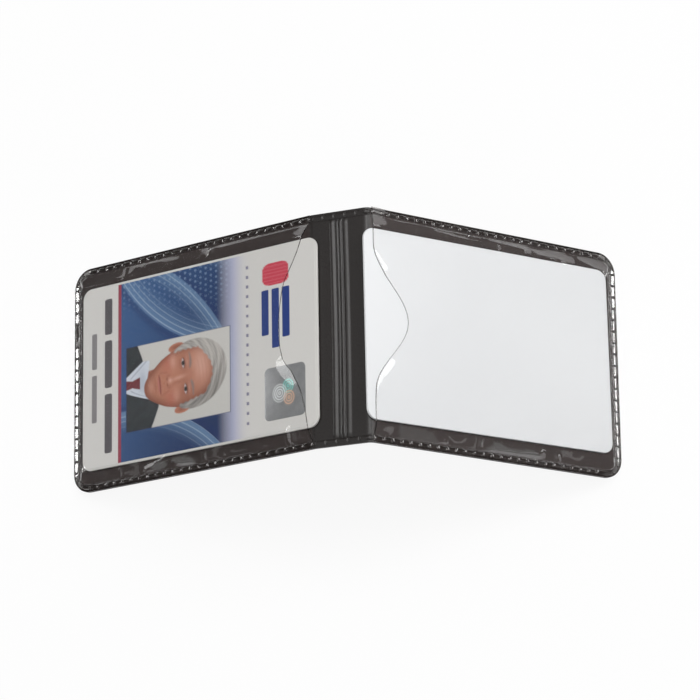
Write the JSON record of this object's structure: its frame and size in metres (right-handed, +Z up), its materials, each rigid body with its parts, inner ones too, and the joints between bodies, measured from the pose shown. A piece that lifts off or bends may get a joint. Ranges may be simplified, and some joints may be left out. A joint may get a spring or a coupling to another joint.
{
  "type": "id badge wallet",
  "caption": "Folding vinyl badge wallet with a ribbed spine and a clear card window with a thumb notch on each panel, standing open with a printed id card and a blank card.",
  "frame": {"origin": "middle of the footprint, on the surface that the two outer edges stand on", "axes": "+X across the wallet towards the blank card's panel, +Y along the folds, +Z up"},
  "size_m": [0.1568, 0.0664, 0.0577],
  "materials": {
    "cover_vinyl": "fine leather grain, satin",
    "lining_vinyl": "smooth, satin",
    "window_film": "clear, glossy",
    "card_white": "smooth, semi-gloss",
    "card_print": "printed, semi-gloss",
    "security_patch": "metallic grey film"
  },
  "bodies": {
    "spine": {"spine_cover": "cover_vinyl", "spine_lining": "lining_vinyl"},
    "left_flank": {"left_flank_cover": "cover_vinyl", "left_flank_lining": "lining_vinyl"},
    "right_flank": {"right_flank_cover": "cover_vinyl", "right_flank_lining": "lining_vinyl"},
    "left_panel": {"left_cover": "cover_vinyl", "left_lining": "lining_vinyl", "left_window": "window_film"},
    "right_panel": {"right_cover": "cover_vinyl", "right_lining": "lining_vinyl", "right_window": "window_film"},
    "id_card": {"id_card": "card_white", "id_card_print": "card_print", "id_card_patch": "security_patch"},
    "blank_card": {"blank_card": "card_white"}
  },
  "joints": [
    {"name": "left_rib_fold", "type": "hinge", "parent": "spine", "child": "left_flank", "pos_m": [-0.00072, 0, 0.05111], "axis": [0, -1, 0], "range_deg": [-90, 25]},
    {"name": "right_rib_fold", "type": "hinge", "parent": "spine", "child": "right_flank", "pos_m": [0.00507, 0, 0.05333], "axis": [0, 1, 0], "range_deg": [-90, 25]},
    {"name": "left_panel_fold", "type": "hinge", "parent": "left_flank", "child": "left_panel", "pos_m": [-0.00558, 0, 0.04925], "axis": [0, -1, 0], "range_deg": [-13, 52]},
    {"name": "right_panel_fold", "type": "hinge", "parent": "right_flank", "child": "right_panel", "pos_m": [0.00992, 0, 0.0552], "axis": [0, 1, 0], "range_deg": [-59.85, 5.15]},
    {"name": "id_card_slide", "type": "slide", "parent": "left_panel", "child": "id_card", "axis": [0.829, 0, 0.5592], "range_m": [0, 0.086]},
    {"name": "blank_card_slide", "type": "slide", "parent": "right_panel", "child": "blank_card", "axis": [-0.7788, 0, 0.6273], "range_m": [0, 0.086]}
  ]
}
